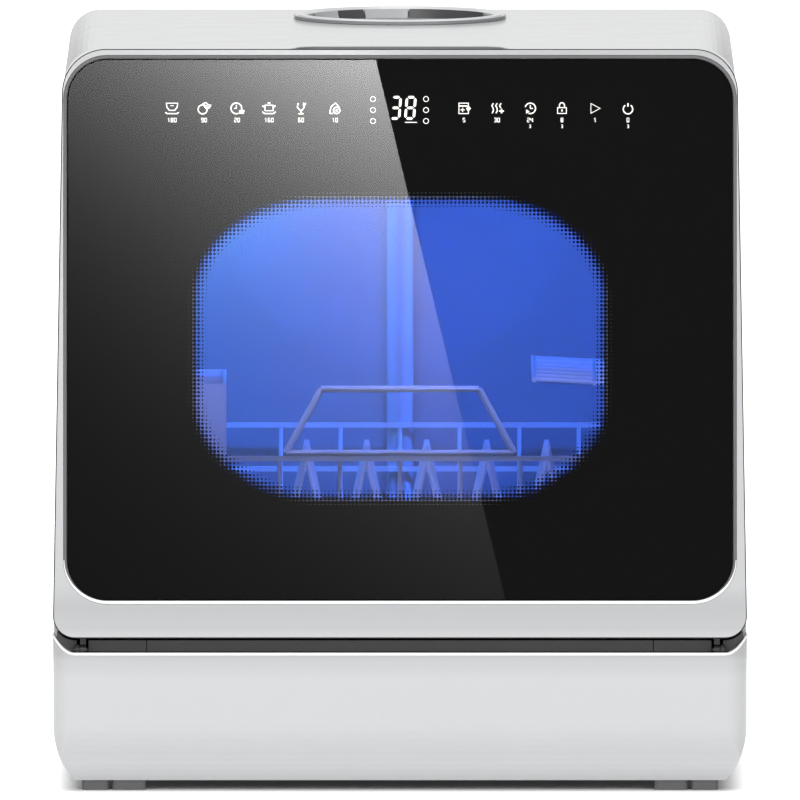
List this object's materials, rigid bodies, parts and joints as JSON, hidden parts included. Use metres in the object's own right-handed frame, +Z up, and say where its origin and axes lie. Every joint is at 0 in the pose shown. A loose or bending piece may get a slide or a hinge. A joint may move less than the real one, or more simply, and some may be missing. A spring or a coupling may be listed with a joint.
{
  "type": "countertop dishwasher",
  "caption": "Countertop dishwasher with a drop-down glass door, a lit window, a touch panel, a water fill port on top and a pull-out wire basket over spray arms.",
  "frame": {"origin": "centre of the body's footprint on the table", "axes": "+Z up, the door faces -Y, +X to the right of someone facing the door"},
  "size_m": [0.412, 0.405, 0.443],
  "materials": {
    "base": "gloss",
    "dark_plastic": "satin",
    "door_glass": "polished",
    "foot_rubber": "matte",
    "grey_plastic": "satin",
    "lamp": "glowing",
    "pane": "polished",
    "pcb": "satin",
    "seal": "matte",
    "shell": "gloss",
    "steel": "brushed",
    "tank": "translucent",
    "trim": "satin",
    "tub": "satin",
    "white_plastic": "satin",
    "wire": "satin"
  },
  "bodies": {
    "housing": {"outer_shell": "shell", "rear_panel": "grey_plastic", "rear_screws": "steel", "base_shell": "base", "bottom_plate": "steel", "bottom_screws": "steel", "base_deck": "dark_plastic", "front_feet": "foot_rubber", "rear_feet": "foot_rubber", "tub": "tub", "front_frame": "grey_plastic", "door_seal": "seal", "catch_housing": "dark_plastic", "hinge_brackets": "dark_plastic", "hinge_pins": "steel", "fill_collar": "shell", "fill_funnel": "tub", "water_tank": "tank", "sump": "dark_plastic", "filter_plate": "steel", "wash_pump": "dark_plastic", "wash_motor": "steel", "drain_pump": "dark_plastic", "drain_hose": "dark_plastic", "delivery_pipes": "dark_plastic", "heater": "steel", "lower_hub": "dark_plastic", "upper_feed_pipe": "grey_plastic", "tub_lamp": "lamp", "air_duct": "dark_plastic", "fan_housing": "dark_plastic", "control_board": "pcb", "inlet_valve": "white_plastic", "power_inlet": "dark_plastic", "hose_ports": "dark_plastic"},
    "door": {"door_frame": "shell", "glass_panel": "door_glass", "glass_bezel": "trim", "door_liner": "tub", "inner_window": "pane", "touch_board": "pcb", "display_module": "dark_plastic", "latch_tongue": "dark_plastic", "hinge_arms": "steel", "detergent_cup": "grey_plastic"},
    "catch": {"catch_lever": "steel"},
    "basket": {"basket": "wire", "plate_tines": "wire", "basket_handle": "wire"},
    "front_rollers": {"front_rollers": "white_plastic"},
    "rear_rollers": {"rear_rollers": "white_plastic"},
    "cutlery_basket": {"cutlery_basket": "white_plastic"},
    "cup_shelf": {"cup_shelf": "wire"},
    "lower_spray_arm": {"lower_spray_arm": "grey_plastic"},
    "upper_spray_arm": {"upper_spray_arm": "grey_plastic"},
    "fan_rotor": {"fan_rotor": "white_plastic"},
    "wash_impeller": {"wash_impeller": "white_plastic"},
    "drain_impeller": {"drain_impeller": "white_plastic"},
    "filter_cup": {"filter_cup": "grey_plastic"},
    "fill_strainer": {"fill_strainer": "grey_plastic"}
  },
  "joints": [
    {"name": "door_hinge", "type": "hinge", "parent": "housing", "child": "door", "pos_m": [0, -0.196, 0.084], "axis": [1, 0, 0], "range_deg": [0, 95]},
    {"name": "catch_pivot", "type": "hinge", "parent": "housing", "child": "catch", "pos_m": [0.112, -0.11271, 0.4164], "axis": [1, 0, 0], "range_deg": [0, 5], "stiffness_Nm_per_rad": 0.02},
    {"name": "basket_slide", "type": "slide", "parent": "housing", "child": "basket", "axis": [0, -1, 0], "range_m": [0, 0.1055]},
    {"name": "front_roller_turn", "type": "hinge", "parent": "basket", "child": "front_rollers", "pos_m": [0, -0.0485, 0.1133], "axis": [1, 0, 0], "range_deg": [0, 669.45]},
    {"name": "rear_roller_turn", "type": "hinge", "parent": "basket", "child": "rear_rollers", "pos_m": [0, 0.0905, 0.1133], "axis": [1, 0, 0], "range_deg": [0, 669.45]},
    {"name": "cutlery_lift", "type": "slide", "parent": "basket", "child": "cutlery_basket", "axis": [0, 0, 1], "range_m": [0, 0.1]},
    {"name": "shelf_fold", "type": "hinge", "parent": "basket", "child": "cup_shelf", "pos_m": [0.152, -0.0055, 0.233], "axis": [0, 1, 0], "range_deg": [0, 78]},
    {"name": "lower_arm_spin", "type": "hinge", "parent": "housing", "child": "lower_spray_arm", "pos_m": [0, -0.01032, 0.1155], "axis": [0, 0, 1], "continuous": true},
    {"name": "upper_arm_spin", "type": "hinge", "parent": "housing", "child": "upper_spray_arm", "pos_m": [0, -0.01032, 0.3775], "axis": [0, 0, 1], "continuous": true},
    {"name": "fan_spin", "type": "hinge", "parent": "housing", "child": "fan_rotor", "pos_m": [0.129, 0.18, 0.362], "axis": [0, 1, 0], "continuous": true},
    {"name": "wash_pump_spin", "type": "hinge", "parent": "housing", "child": "wash_impeller", "pos_m": [0, 0.07, 0.046], "axis": [1, 0, 0], "continuous": true},
    {"name": "drain_pump_spin", "type": "hinge", "parent": "housing", "child": "drain_impeller", "pos_m": [-0.126, 0.07, 0.046], "axis": [1, 0, 0], "continuous": true},
    {"name": "filter_turn", "type": "hinge", "parent": "housing", "child": "filter_cup", "pos_m": [-0.075, 0.07, 0.104], "axis": [0, 0, 1], "range_deg": [0, 90]},
    {"name": "strainer_lift", "type": "slide", "parent": "housing", "child": "fill_strainer", "axis": [0, 0, 1], "range_m": [0, 0.05]}
  ],
  "couplings": [
    {"joint": "basket_slide", "follows": "door_hinge", "m_per_rad": 0.063327},
    {"joint": "front_roller_turn", "follows": "door_hinge", "ratio": 7.0363},
    {"joint": "rear_roller_turn", "follows": "door_hinge", "ratio": 7.0363}
  ]
}
